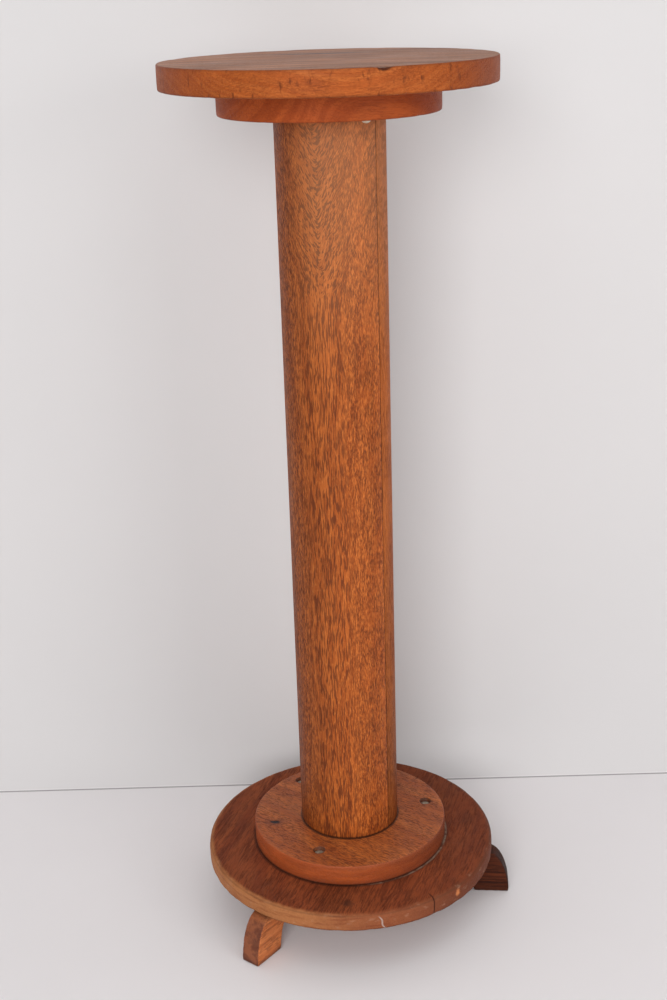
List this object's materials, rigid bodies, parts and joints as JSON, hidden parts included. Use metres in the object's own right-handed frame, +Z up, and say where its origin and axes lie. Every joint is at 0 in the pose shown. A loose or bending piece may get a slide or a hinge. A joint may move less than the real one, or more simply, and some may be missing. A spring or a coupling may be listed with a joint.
{
  "type": "sculpting turntable",
  "caption": "Floor stand with a round wooden table that revolves on a pivot and ball bearing at the top of a round column, on a disc base with splayed block feet.",
  "frame": {"origin": "on the floor, on the axis that the table turns about, in the plane of the three feet's soles", "axes": "+Z up along the turning axis, -Y the front, +X to the right seen from the front; directions round the stand are counted from the front towards +X"},
  "size_m": [0.3228, 0.3126, 0.864],
  "materials": {
    "oak_top": "worn satin oil, grey-brown face and orange edge",
    "oak_upper_flange": "satin oil, red-brown",
    "oak_column_face": "satin varnish, golden with dark open pores",
    "oak_column_core": "satin varnish, redder straight grain",
    "oak_lower_flange": "satin oil, fine dark grain",
    "oak_base": "matte, dark red-brown, worn paler at the rim",
    "oak_foot": "matte, dark red-brown",
    "screw_steel": "dulled bright steel",
    "bearing_steel": "ground, oiled",
    "mild_steel": "dark mill finish, oiled",
    "bronze": "turned bronze, oiled",
    "cage_brass": "pressed brass, oiled"
  },
  "bodies": {
    "stand": {"lower_race": "bearing_steel", "pivot_plate": "mild_steel", "pivot_plate_screws": "screw_steel", "pivot_stud": "mild_steel", "retaining_washer": "mild_steel", "castle_nut": "mild_steel", "split_pin": "mild_steel", "column_front_board": "oak_column_face", "column_core_board": "oak_column_core", "column_back_board": "oak_column_face", "column_screws": "screw_steel", "lower_flange": "oak_lower_flange", "flange_screws": "screw_steel", "base_disc": "oak_base", "front_foot": "oak_foot", "right_foot": "oak_foot", "rear_foot": "oak_foot", "long_foot_screws": "screw_steel", "short_foot_screws": "screw_steel"},
    "turntable": {"top_disc": "oak_top", "upper_flange": "oak_upper_flange", "top_screws": "screw_steel", "pivot_bush": "bronze", "upper_race": "bearing_steel"},
    "ball_ring": {"ball_cage": "cage_brass", "bearing_balls": "bearing_steel"}
  },
  "joints": [
    {"name": "table_spin", "type": "hinge", "parent": "stand", "child": "turntable", "pos_m": [0, 0, 0.821], "axis": [0, 0, 1], "continuous": true},
    {"name": "ball_ring_spin", "type": "hinge", "parent": "stand", "child": "ball_ring", "pos_m": [0, 0, 0.8155], "axis": [0, 0, 1], "continuous": true}
  ],
  "couplings": [
    {"joint": "ball_ring_spin", "follows": "table_spin", "ratio": 0.5}
  ]
}
